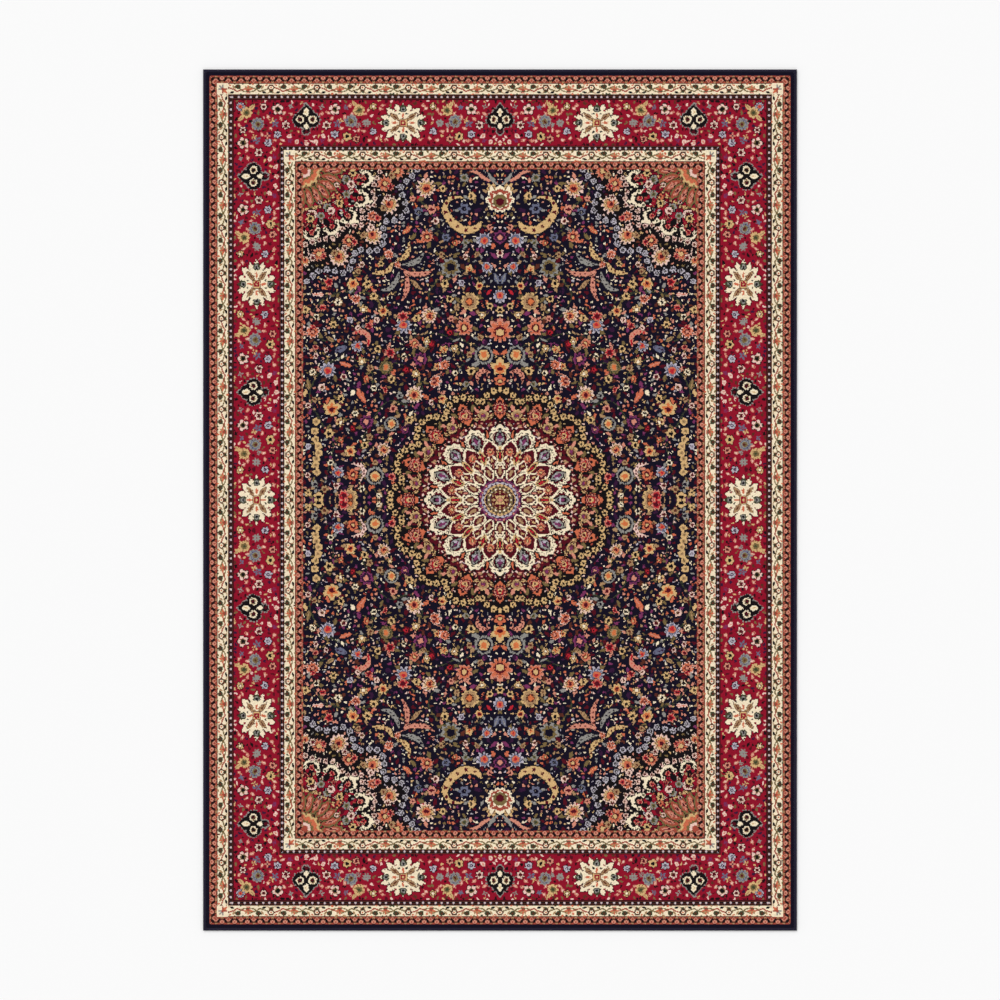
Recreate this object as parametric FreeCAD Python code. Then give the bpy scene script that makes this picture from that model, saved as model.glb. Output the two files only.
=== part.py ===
import FreeCAD, Part
import math
import os

# A machine-woven area rug of Persian design, lying flat.
# X runs across the rug, Y along it, Z up. The origin is on the floor, under the rug's centre.
# All lengths are millimetres.

# Driving dimensions
RUG_WIDTH = 2000.0
RUG_LENGTH = 2900.0
TUFT_PITCH = 2.5
WEAVE_THICKNESS = 2.4
PILE_HEIGHT = 8.6
SERGING_WIDTH = 12.5
SERGING_HEIGHT = 9.5
SERGING_ROUND = 4.5
CORD_DIAMETER = 5.0
MEDALLION_RADIUS = 390.0
MEDALLION_SIDES = 16
SPANDREL_LEG = 580.0

# Bands of the design from the serging inwards: node name, width in tufts, and whether the band
# is wide enough for each of its four sides to be a node of its own.
BANDS = (
    ("pile_edge_band", 4, False),
    ("pile_outer_zigzag", 10, False),
    ("pile_outer_guard", 16, False),
    ("pile_outer_beads", 7, False),
    ("pile_border", 61, True),
    ("pile_inner_beads", 6, False),
    ("pile_inner_guard", 16, False),
    ("pile_inner_zigzag", 10, False),
)

SIDES = ("left", "right", "head", "foot")
QUARTERS = {"head_right": (1, 1), "head_left": (-1, 1), "foot_left": (-1, -1), "foot_right": (1, -1)}

HALF_WIDTH = RUG_WIDTH / 2
HALF_LENGTH = RUG_LENGTH / 2


def prism(outline, bottom, height):
    """Upright prism on a closed outline of (x, y) points."""
    corners = [FreeCAD.Vector(x, y, bottom) for x, y in outline]
    face = Part.Face(Part.makePolygon(corners + corners[:1]))
    return face.extrude(FreeCAD.Vector(0, 0, height))


def side_outlines(outer, inner):
    """The four mitred strips between two centred rectangles, given by their half sizes."""
    outer_x, outer_y = outer
    inner_x, inner_y = inner
    right = ((outer_x, -outer_y), (outer_x, outer_y), (inner_x, inner_y), (inner_x, -inner_y))
    head = ((outer_x, outer_y), (-outer_x, outer_y), (-inner_x, inner_y), (inner_x, inner_y))
    return {
        "left": [(-x, -y) for x, y in right],
        "right": right,
        "head": head,
        "foot": [(-x, -y) for x, y in head],
    }


def save(node, solids):
    """Write one node, made of one or more separate solids."""
    shape = solids[0] if len(solids) == 1 else Part.makeCompound(solids)
    volume = sum(solid.Volume for solid in solids)
    print(f"{node}: {len(solids)} solid(s), {volume / 1000:.0f} cm3, valid {shape.isValid()}")
    shape.exportStep(f"parts/{node}.step")


def inset(distance):
    """Half sizes of the rug's outline, moved inwards."""
    return HALF_WIDTH - distance, HALF_LENGTH - distance


def ground_weave():
    """The woven base sheet of wefts and warps that holds every tuft by its foot."""
    half_x, half_y = inset(SERGING_WIDTH)
    outline = ((-half_x, -half_y), (half_x, -half_y), (half_x, half_y), (-half_x, half_y))
    save("ground_weave", [prism(outline, 0, WEAVE_THICKNESS)])


def edge_bar(side):
    """A bar along one side with its four long edges rounded, and the cord's cylinder inside it."""
    along_y = side in ("left", "right")
    sign = 1 if side in ("right", "head") else -1
    length = RUG_LENGTH if along_y else RUG_WIDTH
    centre = sign * ((HALF_WIDTH if along_y else HALF_LENGTH) - SERGING_WIDTH / 2)
    start = FreeCAD.Vector(centre - SERGING_WIDTH / 2, -length / 2, 0)
    bar = Part.makeBox(SERGING_WIDTH, length, SERGING_HEIGHT, start)
    long_edges = [edge for edge in bar.Edges if edge.Length > SERGING_WIDTH]
    bar = bar.makeFillet(SERGING_ROUND, long_edges)
    axis_start = FreeCAD.Vector(centre, -length / 2, SERGING_HEIGHT / 2)
    cord = Part.makeCylinder(CORD_DIAMETER / 2, length, axis_start, FreeCAD.Vector(0, 1, 0))
    if not along_y:
        upright = FreeCAD.Vector(0, 0, 1)
        bar.rotate(FreeCAD.Vector(0, 0, 0), upright, 90)
        cord.rotate(FreeCAD.Vector(0, 0, 0), upright, 90)
    return bar, cord


def serged_edges():
    """A filler cord along each side, overcast with yarn; the four sides meet in mitres."""
    outlines = side_outlines((HALF_WIDTH, HALF_LENGTH), inset(SERGING_WIDTH))
    for side in SIDES:
        bar, cord = edge_bar(side)
        mitre = prism(outlines[side], 0, SERGING_HEIGHT)
        cord = cord.common(mitre)
        save(f"edge_cord_{side}", cord.Solids)
        save(f"serging_{side}", bar.common(mitre).cut(cord).Solids)


def pile_bands():
    """The cut pile of each border band, four mitred strips round the rug."""
    distance = SERGING_WIDTH
    for node, tufts, own_sides in BANDS:
        outlines = side_outlines(inset(distance), inset(distance + tufts * TUFT_PITCH))
        strips = {side: prism(outlines[side], WEAVE_THICKNESS, PILE_HEIGHT) for side in SIDES}
        if own_sides:
            for side in SIDES:
                save(f"{node}_{side}", [strips[side]])
        else:
            save(node, list(strips.values()))
        distance += tufts * TUFT_PITCH
    return inset(distance)


def medallion_ring():
    """Corners of the medallion's regular polygon, anticlockwise from +X."""
    step = 2 * math.pi / MEDALLION_SIDES
    angles = [index * step for index in range(MEDALLION_SIDES)]
    return [(MEDALLION_RADIUS * math.cos(a), MEDALLION_RADIUS * math.sin(a)) for a in angles]


def pile_field(half_x, half_y):
    """The cut pile inside the borders: medallion, four corner spandrels and the field between."""
    ring = medallion_ring()
    save("pile_medallion", [prism(ring, WEAVE_THICKNESS, PILE_HEIGHT)])
    side_point = (half_x, half_y - SPANDREL_LEG)
    end_point = (half_x - SPANDREL_LEG, half_y)
    spandrel = (side_point, (half_x, half_y), end_point)
    inner = ring[: MEDALLION_SIDES // 4 + 1]
    outer = ((half_x, 0), side_point, side_point, end_point, (0, half_y))
    for quarter, (sign_x, sign_y) in QUARTERS.items():
        mirrored = [(sign_x * x, sign_y * y) for x, y in spandrel]
        save(f"pile_spandrel_{quarter}", [prism(mirrored, WEAVE_THICKNESS, PILE_HEIGHT)])
        # Convex wedges from the medallion's sides out to the field's edge
        wedges = []
        for index in range(len(inner) - 1):
            corners = [inner[index], outer[index], outer[index + 1], inner[index + 1]]
            distinct = [c for place, c in enumerate(corners) if c not in corners[:place]]
            mirrored = [(sign_x * x, sign_y * y) for x, y in distinct]
            wedges.append(prism(mirrored, WEAVE_THICKNESS, PILE_HEIGHT))
        save(f"pile_field_{quarter}", wedges)


os.makedirs("parts", exist_ok=True)
ground_weave()
serged_edges()
field_half_x, field_half_y = pile_bands()
pile_field(field_half_x, field_half_y)
print(f"field {2 * field_half_x:.1f} x {2 * field_half_y:.1f} mm")
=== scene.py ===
# %% [markdown]
# # A Persian-design area rug, woven tuft by tuft
# The rug is a woven base cloth that holds close to a million short tufts of yarn. Its picture is nothing
# but the colour of each tuft, so this lesson draws the design as a weaver does, on squared point paper,
# and then gives every tuft of the modelled pile the yarn that its square asks for.

# %% The frame
import bpy
import math
import numpy as np
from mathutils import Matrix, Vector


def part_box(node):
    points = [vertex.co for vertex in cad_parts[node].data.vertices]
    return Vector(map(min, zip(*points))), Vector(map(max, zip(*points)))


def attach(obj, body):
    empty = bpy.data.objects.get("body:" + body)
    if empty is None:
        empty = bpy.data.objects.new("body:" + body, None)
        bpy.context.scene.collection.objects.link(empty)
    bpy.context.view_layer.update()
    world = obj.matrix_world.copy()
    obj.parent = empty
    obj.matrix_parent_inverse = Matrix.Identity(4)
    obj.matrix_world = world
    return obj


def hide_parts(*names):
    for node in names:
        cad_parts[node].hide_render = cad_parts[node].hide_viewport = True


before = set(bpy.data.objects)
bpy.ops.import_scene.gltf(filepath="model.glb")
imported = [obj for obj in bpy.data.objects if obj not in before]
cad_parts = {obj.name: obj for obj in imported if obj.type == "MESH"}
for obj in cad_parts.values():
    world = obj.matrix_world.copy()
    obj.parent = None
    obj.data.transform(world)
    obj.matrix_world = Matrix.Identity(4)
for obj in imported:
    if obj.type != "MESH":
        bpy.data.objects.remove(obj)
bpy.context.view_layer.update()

# %% [markdown]
# ## Measures
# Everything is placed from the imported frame. The design is drawn in millimetres from the rug's middle,
# because that is how a designer counts it, and the meshes are made in metres.

# %% Measures from the frame
TUFT = 2.5
MM = 0.001


def reach(node):
    """Half width, half length, bottom and top of a node, in millimetres."""
    low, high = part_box(node)
    return high[0] / MM, high[1] / MM, low[2] / MM, high[2] / MM


RINGS = ("pile_edge_band", "pile_outer_zigzag", "pile_outer_guard", "pile_outer_beads",
         "pile_border_right", "pile_inner_beads", "pile_inner_guard", "pile_inner_zigzag")
outer_x = {ring: reach(ring)[0] for ring in RINGS}
outer_y = {ring: reach(ring)[1] for ring in RINGS}
FIELD_X, FIELD_Y = reach("pile_field_head_right")[:2]
PILE_X, PILE_Y, PILE_FOOT, PILE_TOP = reach("pile_edge_band")
print(f"pile {2 * PILE_X:.0f} x {2 * PILE_Y:.0f} mm, field {2 * FIELD_X:.0f} x {2 * FIELD_Y:.0f} mm")

# %% [markdown]
# ## The yarns
# The creel of the loom holds a small set of dyed yarns, and the weaver mixes them only by placing them
# side by side. Each has a name here and a colour as the eye sees it, turned to linear light for the shader.

# %% Yarns
YARNS = {
    "navy": (15, 9, 30),
    "black": (16, 9, 13),
    "plum": (52, 20, 52),
    "maroon": (84, 10, 26),
    "crimson": (146, 14, 40),
    "red": (186, 36, 48),
    "rust": (164, 74, 58),
    "brown": (92, 44, 32),
    "terracotta": (205, 108, 76),
    "orange": (212, 116, 68),
    "salmon": (212, 140, 118),
    "pink": (238, 200, 186),
    "cream": (248, 230, 198),
    "gold": (214, 176, 122),
    "tan": (172, 136, 98),
    "olive": (120, 100, 62),
    "green": (62, 66, 44),
    "grey": (146, 142, 136),
    "blue": (104, 106, 128),
    "lilac": (188, 180, 190),
    "mauve": (122, 50, 92),
}
NUMBER = {name: place for place, name in enumerate(YARNS)}


def to_linear(level):
    """A display level from 0 to 255 as linear light."""
    part = level / 255
    return part / 12.92 if part <= 0.04045 else ((part + 0.055) / 1.055) ** 2.4


SKEINS = np.array([[to_linear(level) for level in rgb] for rgb in YARNS.values()])
print(len(YARNS), "yarns")

# %% [markdown]
# ## Point paper
# The design mirrors left to right and head to foot, so only the quarter towards the head right corner
# is drawn. A sheet is a grid of yarn numbers, and each drawing method stamps one simple shape on it:
# an outline given by a formula, filled with a yarn.

# %% The sheet of point paper
class Sheet:
    """Squared paper of yarn numbers: x runs across from the left edge, y up from the bottom edge."""

    def __init__(self, width, height, ground):
        self.columns = round(width / TUFT)
        self.rows = round(height / TUFT)
        self.yarn = np.full((self.rows, self.columns), NUMBER[ground], np.uint8)
        self.drawn = np.zeros((self.rows, self.columns), bool)
        self.x = (np.arange(self.columns) + 0.5) * TUFT
        self.y = (np.arange(self.rows) + 0.5) * TUFT

    def window(self, x, y, size):
        """The squares within a size of a point, and their offsets from it."""
        c0, c1 = (min(max(int(v / TUFT), 0), self.columns) for v in (x - size, x + size + 2 * TUFT))
        r0, r1 = (min(max(int(v / TUFT), 0), self.rows) for v in (y - size, y + size + 2 * TUFT))
        return (slice(r0, r1), slice(c0, c1)), self.x[None, c0:c1] - x, self.y[r0:r1, None] - y

    def fill(self, where, mask, yarn):
        self.yarn[where][mask] = NUMBER[yarn]
        self.drawn[where] |= mask

    def disc(self, x, y, radius, yarn):
        where, u, v = self.window(x, y, radius)
        self.fill(where, u * u + v * v < radius * radius, yarn)

    def leaf(self, x, y, angle, length, width, yarn, rib=None):
        """A pointed oval whose long axis is at an angle in degrees."""
        where, u, v = self.window(x, y, length / 2)
        turn = math.radians(angle)
        along = u * math.cos(turn) + v * math.sin(turn)
        across = v * math.cos(turn) - u * math.sin(turn)
        share = 1 - (2 * along / length) ** 2
        self.fill(where, np.abs(across) < width / 2 * share, yarn)
        if rib:
            self.fill(where, (np.abs(across) < TUFT * 0.6) & (share > 0.3), rib)

    def leaves(self, spot, angle, *layers):
        """Leaves laid on each other at a spot: (length, width, yarn), the largest first."""
        for length, width, yarn in layers:
            self.leaf(*spot, angle, length, width, yarn)

    def blossom(self, x, y, radius, layers, lobes=6, depth=0.2, angle=0, lean=0, split=None):
        """A lobed flower of nested layers, (share of the radius, yarn) from the outside inwards.

        lean draws it out towards its angle, which makes a round rosette a palmette.
        split is a yarn for the lines between its petals.
        """
        where, u, v = self.window(x, y, radius * (1 + lean))
        away = np.hypot(u, v)
        bearing = np.arctan2(v, u) - math.radians(angle)
        wave = np.abs(np.cos(bearing * lobes / 2))
        size = radius * (1 + lean * np.cos(bearing))
        for share, yarn in layers:
            edge = 1 - depth * (1 - wave) if share > 0.5 else 1
            self.fill(where, away < size * share * edge, yarn)
        if split:
            seam = (wave * away < TUFT * 0.9) & (away > size * 0.45) & (away < size * (1 - depth))
            self.fill(where, seam, split)

    def stroke(self, points, width, yarn, taper=0.25, bulge=0.5):
        """A brush stroke along a smooth curve; its ends keep a share of the width."""
        for share, (x, y) in walk(points, TUFT * 0.6):
            swell = taper + (1 - taper) * math.sin(math.pi * share ** (math.log(0.5) / math.log(bulge)))
            self.disc(x, y, max(width / 2 * swell, TUFT * 0.55), yarn)


def off(x, y, far, bearing):
    """The spot that lies a distance away from another, at a bearing in degrees."""
    turn = math.radians(bearing)
    return x + far * math.cos(turn), y + far * math.sin(turn)


def walk(points, step):
    """Even steps along a smooth curve through given points: (share of the way, (x, y))."""
    ends = [tuple(2 * np.array(points[0]) - np.array(points[1]))]
    knots = np.array(ends + list(points) + [tuple(2 * np.array(points[-1]) - np.array(points[-2]))])
    track = []
    for a, b, c, d in zip(knots, knots[1:], knots[2:], knots[3:]):
        for t in np.linspace(0, 1, 24, endpoint=False):
            track.append(0.5 * (2 * b + (c - a) * t + (2 * a - 5 * b + 4 * c - d) * t ** 2
                                + (3 * b - a - 3 * c + d) * t ** 3))
    track.append(knots[-2])
    track = np.array(track)
    run = np.concatenate([[0], np.cumsum(np.hypot(*np.diff(track, axis=0).T))])
    stops = np.linspace(0, run[-1], max(2, round(run[-1] / step) + 1))
    return [(s / run[-1], (np.interp(s, run, track[:, 0]), np.interp(s, run, track[:, 1]))) for s in stops]


# %% [markdown]
# ## The flowers
# A whole Persian design grows from a few kinds of flower. Each kind is written once: its petals, its
# layers of yarn and the dark lines between petals. A drawing then only says which flower, where and how
# large.

# %% Kinds of flower
RING = dict(lobes=6, depth=0.36)
ROSE = dict(lobes=10, depth=0.4)
KINDS = {
    "gold": dict(layers=((1, "gold"), (0.42, "black")), **RING),
    "cream": dict(layers=((1, "tan"), (0.84, "cream"), (0.44, "black")), **RING),
    "creamy": dict(layers=((1, "gold"), (0.62, "brown"), (0.34, "cream")), **RING),
    "tan": dict(layers=((1, "tan"), (0.4, "brown")), **RING),
    "pink": dict(layers=((1, "salmon"), (0.42, "maroon")), **RING),
    "pale": dict(layers=((1, "pink"), (0.6, "olive"), (0.42, "maroon")), **RING),
    "lilac": dict(layers=((1, "lilac"), (0.45, "plum"), (0.2, "lilac")), **RING),
    "blue": dict(layers=((1, "blue"), (0.45, "navy"), (0.2, "grey")), **RING),
    "grey": dict(layers=((1, "grey"), (0.42, "navy")), **RING),
    "pearl": dict(layers=((1, "lilac"), (0.66, "grey"), (0.5, "black"), (0.24, "lilac")), **RING),
    "green": dict(layers=((1, "grey"), (0.6, "olive"), (0.3, "green")), **RING),
    "red": dict(layers=((1, "salmon"), (0.76, "red"), (0.44, "maroon")), lobes=7, depth=0.36),
    "maroon": dict(layers=((1, "maroon"), (0.5, "red"), (0.25, "black")), lobes=5, depth=0.3),
    "rust": dict(layers=((1, "terracotta"), (0.5, "maroon"), (0.25, "gold")), **RING),
    "orange": dict(layers=((1, "gold"), (0.62, "orange"), (0.3, "maroon")), **RING),
    "rose": dict(layers=((1, "salmon"), (0.82, "terracotta"), (0.45, "maroon"), (0.28, "gold")),
                 split="maroon", **ROSE),
    "peony": dict(layers=((1, "pink"), (0.84, "terracotta"), (0.42, "maroon"), (0.26, "salmon")),
                  split="brown", **ROSE),
    "lotus": dict(layers=((1, "gold"), (0.8, "tan"), (0.45, "brown"), (0.3, "orange")), split="black",
                  lobes=10, depth=0.24),
    "frost": dict(layers=((1, "lilac"), (0.78, "blue"), (0.46, "terracotta"), (0.25, "red")),
                  split="navy", lobes=11, depth=0.42),
    "ivory": dict(layers=((1, "pink"), (0.8, "gold"), (0.66, "brown"), (0.56, "gold"), (0.42, "terracotta"),
                          (0.22, "maroon")), split="black", lobes=12, depth=0.42),
    "flame": dict(layers=((1, "maroon"), (0.86, "salmon"), (0.7, "maroon"), (0.54, "red"), (0.38, "gold"),
                          (0.2, "maroon")), split="maroon", lobes=10, depth=0.3),
    "wheel": dict(layers=((1, "grey"), (0.76, "navy"), (0.56, "gold"), (0.3, "orange")), split="navy",
                  lobes=14, depth=0.14),
    "sun": dict(layers=((1, "olive"), (0.78, "green"), (0.6, "tan"), (0.3, "orange")), split="green",
                lobes=14, depth=0.16),
    "ash": dict(layers=((1, "grey"), (0.75, "olive"), (0.4, "navy")), split="navy", lobes=9, depth=0.28),
    "star": dict(layers=((1, "pink"), (0.5, "olive"), (0.34, "black")), split="crimson", lobes=5, depth=0.38),
    "purple": dict(layers=((1, "mauve"), (0.72, "plum"), (0.36, "salmon")), split="navy", lobes=8, depth=0.3),
}


def flower(sheet, kind, x, y, radius, angle=0, lean=0):
    """One flower of a kind, in a thin black outline that parts it from what lies behind."""
    petals = KINDS[kind]
    sheet.blossom(x, y, radius + 3.2, ((1, "black"),), petals["lobes"], petals["depth"], angle, lean)
    sheet.blossom(x, y, radius, angle=angle, lean=lean, **KINDS[kind])


def spray(sheet, x, y, size, yarn, leaves=6, angle=0, heart=None):
    """Small leaves set round a point."""
    for place in range(leaves):
        turn = angle + 360 * place / leaves
        out = size * 0.55
        sheet.leaf(*off(x, y, out, turn),
                   turn, size * 0.95, size * 0.42, yarn)
    if heart:
        sheet.disc(x, y, size * 0.3, heart)


def garland(sheet, points, spacing, radius, kind):
    """Small flowers threaded at an even spacing along a curve."""
    for share, (x, y) in walk(points, spacing):
        flower(sheet, kind, x, y, radius, angle=360 * share * 7)


print(len(KINDS), "kinds of flower")

# %% [markdown]
# ## Sowing the gaps
# Ground that stays bare between the flowers gets small leaves, buds and dots. They come from a seeded
# sower, which looks at the squares around a place before it plants there. A finished sheet is wobbled a
# little, because curves drawn on squared paper by hand are never as even as a compass makes them.

# %% Sower
luck = np.random.default_rng(7)
SEEDS = (("salmon", 11, 6), ("cream", 12, 4.5), ("maroon", 18, 11), ("plum", 22, 14), ("maroon", 20, 12),
         ("olive", 15, 7), ("cream", 10, 4.5), ("mauve", 14, 8), ("tan", 12, 7), ("grey", 12, 5),
         ("terracotta", 14, 7), ("plum", 18, 12), ("brown", 16, 9), ("gold", 11, 5), ("pink", 10, 5))



def sow(sheet, tries, seeds, room):
    """Plant small leaves where the ground is bare within the room given."""
    planted = 0
    across = luck.uniform(0, sheet.columns * TUFT, tries)
    up = luck.uniform(0, sheet.rows * TUFT, tries)
    angles = luck.uniform(0, 180, tries)
    picks = luck.integers(0, len(seeds), tries)
    for x, y, angle, pick in zip(across, up, angles, picks):
        yarn, length, width = seeds[pick]
        where, u, v = sheet.window(x, y, length * room)
        if not sheet.drawn[where].any():
            sheet.leaf(x, y, angle, length, width, yarn)
            planted += 1
    return planted


SLIVERS = (("cream", 9, 4), ("salmon", 9, 5), ("maroon", 11, 7), ("lilac", 8, 4), ("gold", 9, 5),
           ("plum", 12, 8), ("maroon", 11, 7), ("rust", 10, 5))
GUARD_SEEDS = (("olive", 12, 7), ("terracotta", 11, 7), ("brown", 12, 6), ("green", 11, 7), ("tan", 14, 7))
BORDER_SEEDS = (("pink", 13, 6), ("maroon", 20, 12), ("gold", 12, 6), ("plum", 13, 8), ("olive", 14, 8),
                ("black", 9, 7), ("brown", 15, 9), ("maroon", 14, 10), ("black", 15, 9), ("black", 18, 10))


def wobble(sheet, size):
    """Shift small patches of the drawing by a square or so, since no hand draws with compasses."""
    rows, columns = sheet.yarn.shape
    shifts = []
    for way in range(2):
        patches = luck.normal(0, size, (rows // 2 + 1, columns // 2 + 1))
        shifts.append(np.rint(np.kron(patches, np.ones((2, 2)))[:rows, :columns]).astype(int))
    down = np.clip(np.arange(rows)[:, None] + shifts[0], 0, rows - 1)
    over = np.clip(np.arange(columns)[None] + shifts[1], 0, columns - 1)
    sheet.yarn = sheet.yarn[down, over]


# %% [markdown]
# ## The narrow borders
# A border is drawn as a strip, once for the head and once for the side, from the middle of the rug out
# to the corner, with "up" pointing outwards. The strip is then laid on the quarter's paper, and the
# corner square is drawn over it.

# %% The quarter sheet and how strips are laid on it
paper = Sheet(PILE_X, PILE_Y, "navy")


def ring_width(ring):
    place = RINGS.index(ring) + 1
    inner = outer_x[RINGS[place]] if place < len(RINGS) else FIELD_X
    return outer_x[ring] - inner


def lay_strips(ring, draw):
    """Draw a ring's strips and lay them on the paper; draw gets the sheet and the strip's side."""
    width = ring_width(ring)
    head = Sheet(outer_x[ring], width, "navy")
    side = Sheet(outer_y[ring], width, "navy")
    draw(head, "head")
    draw(side, "side")
    top = round(outer_y[ring] / TUFT)
    right = round(outer_x[ring] / TUFT)
    depth = round(width / TUFT)
    paper.yarn[top - depth:top, :right] = head.yarn
    side_yarn = side.yarn.T
    paper.yarn[:top - depth, right - depth:right] = side_yarn[:top - depth]
    beside = np.triu(np.ones((depth, depth), bool))
    paper.yarn[top - depth:top, right - depth:right][beside] = side_yarn[top - depth:top][beside]


def zigzag(strip, side):
    """Rust band: dark strokes lean to each other, with a bud in every mouth and a leaf at every foot."""
    length = strip.columns * TUFT
    height = strip.rows * TUFT
    period = length / round(length / 41.7)
    strip.yarn[:] = NUMBER["rust"]
    for place in range(round(length / period) + 1):
        x = place * period
        for shift, up, turn in ((0, 0.62, 1), (period / 2, 0.38, -1)):
            strip.leaf(x + shift, height * up, 90, height * 0.85, period * 0.5, "brown")
            strip.leaf(x + shift, height * (up + 0.05 * turn), 90, height * 0.6, period * 0.36, "salmon")
            strip.leaf(x + shift, height * (up + 0.08 * turn), 90, height * 0.34, period * 0.16, "rust")
        for way in (-1, 1):
            strip.leaf(x + way * period * 0.25, height * 0.5, way * 58, height * 0.95, TUFT * 3, "black")
        strip.leaf(x + period / 2, height * 0.86, 0, period * 0.3, 5, "tan")
        strip.leaf(x, height * 0.12, 0, period * 0.3, 5, "tan")


def beads(strip, side):
    """Pale beads on a dark cord, with a black line beside the guard and a mauve one by the border."""
    rows = strip.rows
    outward = rows == round(ring_width("pile_outer_beads") / TUFT)
    length = strip.columns * TUFT
    yarns = ["maroon", "black", "brown", "black", "black", "brown", "black"] if outward else \
            ["black", "brown", "black", "black", "brown", "maroon"]
    for row, yarn in enumerate(yarns[:rows]):
        strip.yarn[row] = NUMBER[yarn]
    middle = (rows * 0.58 if outward else rows * 0.34) * TUFT
    for place in range(round(length / 20.7) + 1):
        strip.disc((place + 0.5) * 20.7, middle, 3.9, "lilac")
        strip.disc((place + 0.5) * 20.7, middle, 1.8, "pink")


def guard(strip, side):
    """Cream band: fans and ring flowers in turn, with round leaves on curled stems between them."""
    outward = strip.columns * TUFT in (outer_x["pile_outer_guard"], outer_y["pile_outer_guard"])
    repeat = 154 if side == "head" else 152.6
    height = strip.rows * TUFT
    strip.yarn[:] = NUMBER["cream"]
    strip.yarn[0] = strip.yarn[-1] = NUMBER["brown"]
    for place in range(round(strip.columns * TUFT * 4 / repeat) + 1):
        x = place * repeat / 4
        swing = 0.3 if place % 2 else 0.7
        bend = [(x, height * swing), (x + repeat / 12, height * 0.5), (x + repeat / 4, height * (1 - swing))]
        strip.stroke(bend, 4.6, "olive" if place % 4 < 2 else "rust", taper=1)
        strip.leaf(x, height * (1 - swing), 30 * (-1) ** place, 20, 10, "black" if place % 2 else "green")
    start = 0 if outward else repeat / 2
    for place in range(-1, math.ceil(strip.columns * TUFT / repeat) + 1):
        fan = start + place * repeat
        ring = fan + repeat / 2
        for way in (-1, 1):
            strip.stroke([(fan + way * 6, height * 0.3), (fan + way * 20, height * 0.34),
                          (fan + way * 30, height * 0.6)], 4, "olive")
            strip.disc(fan + way * 34, height * 0.7, 8.5, "green")
            strip.disc(fan + way * 35, height * 0.72, 3.5, "brown")
            strip.leaf(fan + way * 48, height * 0.66, way * 50, 15, 7, "tan")
            strip.stroke([(ring - way * 5, height * 0.42), (ring - way * 9, height * 0.18),
                          (ring - way * 24, height * 0.2)], 3.6, "tan")
            strip.leaf(ring - way * 23, height * 0.22, -way * 12, 16, 7.5, "black")
            strip.leaf(ring - way * 15, height * 0.84, way * 20, 11, 5, "terracotta")
        for step in range(5):
            strip.leaf(fan + 9 * math.cos(math.radians(18 + step * 36)),
                       height * 0.42 + 9 * math.sin(math.radians(18 + step * 36)),
                       18 + step * 36, 17, 6.5, "tan" if step % 2 else "terracotta")
        strip.disc(fan, height * 0.42, 4.5, "rust")
        strip.leaf(fan, height * 0.18, 0, 18, 5, "salmon")
        strip.blossom(ring, height * 0.62, 12.5, ((1, "brown"), (0.55, "cream"), (0.24, "terracotta")),
                      depth=0.24, split="black")
    sow(strip, 4000, GUARD_SEEDS, 0.42)




lay_strips("pile_outer_zigzag", zigzag)
lay_strips("pile_outer_guard", guard)
lay_strips("pile_outer_beads", beads)
lay_strips("pile_inner_beads", beads)
lay_strips("pile_inner_guard", guard)
lay_strips("pile_inner_zigzag", zigzag)


def guard_corner(ring):
    """The corner square of a guard: one rust flower with green leaves, pointing to the corner."""
    width = ring_width(ring)
    x = outer_x[ring] - width / 2
    y = outer_y[ring] - width / 2
    where, u, v = paper.window(x, y, width / 2 - TUFT)
    paper.fill(where, np.maximum(np.abs(u), np.abs(v)) < width / 2, "cream")
    for turn in (0, 45, 90, 180, 270):
        paper.leaf(*off(x, y, 9, turn), turn, 17, 6,
                   "grey" if turn in (0, 45, 90) else "rust")
    paper.leaf(x - 8, y - 8, 45, 22, 8, "terracotta")
    paper.disc(x, y, 4, "rust")


guard_corner("pile_outer_guard")
guard_corner("pile_inner_guard")
print("narrow borders drawn")

# %% [markdown]
# ## The crimson border
# Two large palmettes take turns along it: a cream star and a black one with four lobes that points
# outwards. Between them lies one set of small flowers, mirrored about each palmette, so it is listed
# once: how far along from the black palmette, how far out from the band's middle, and how large.

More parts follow.
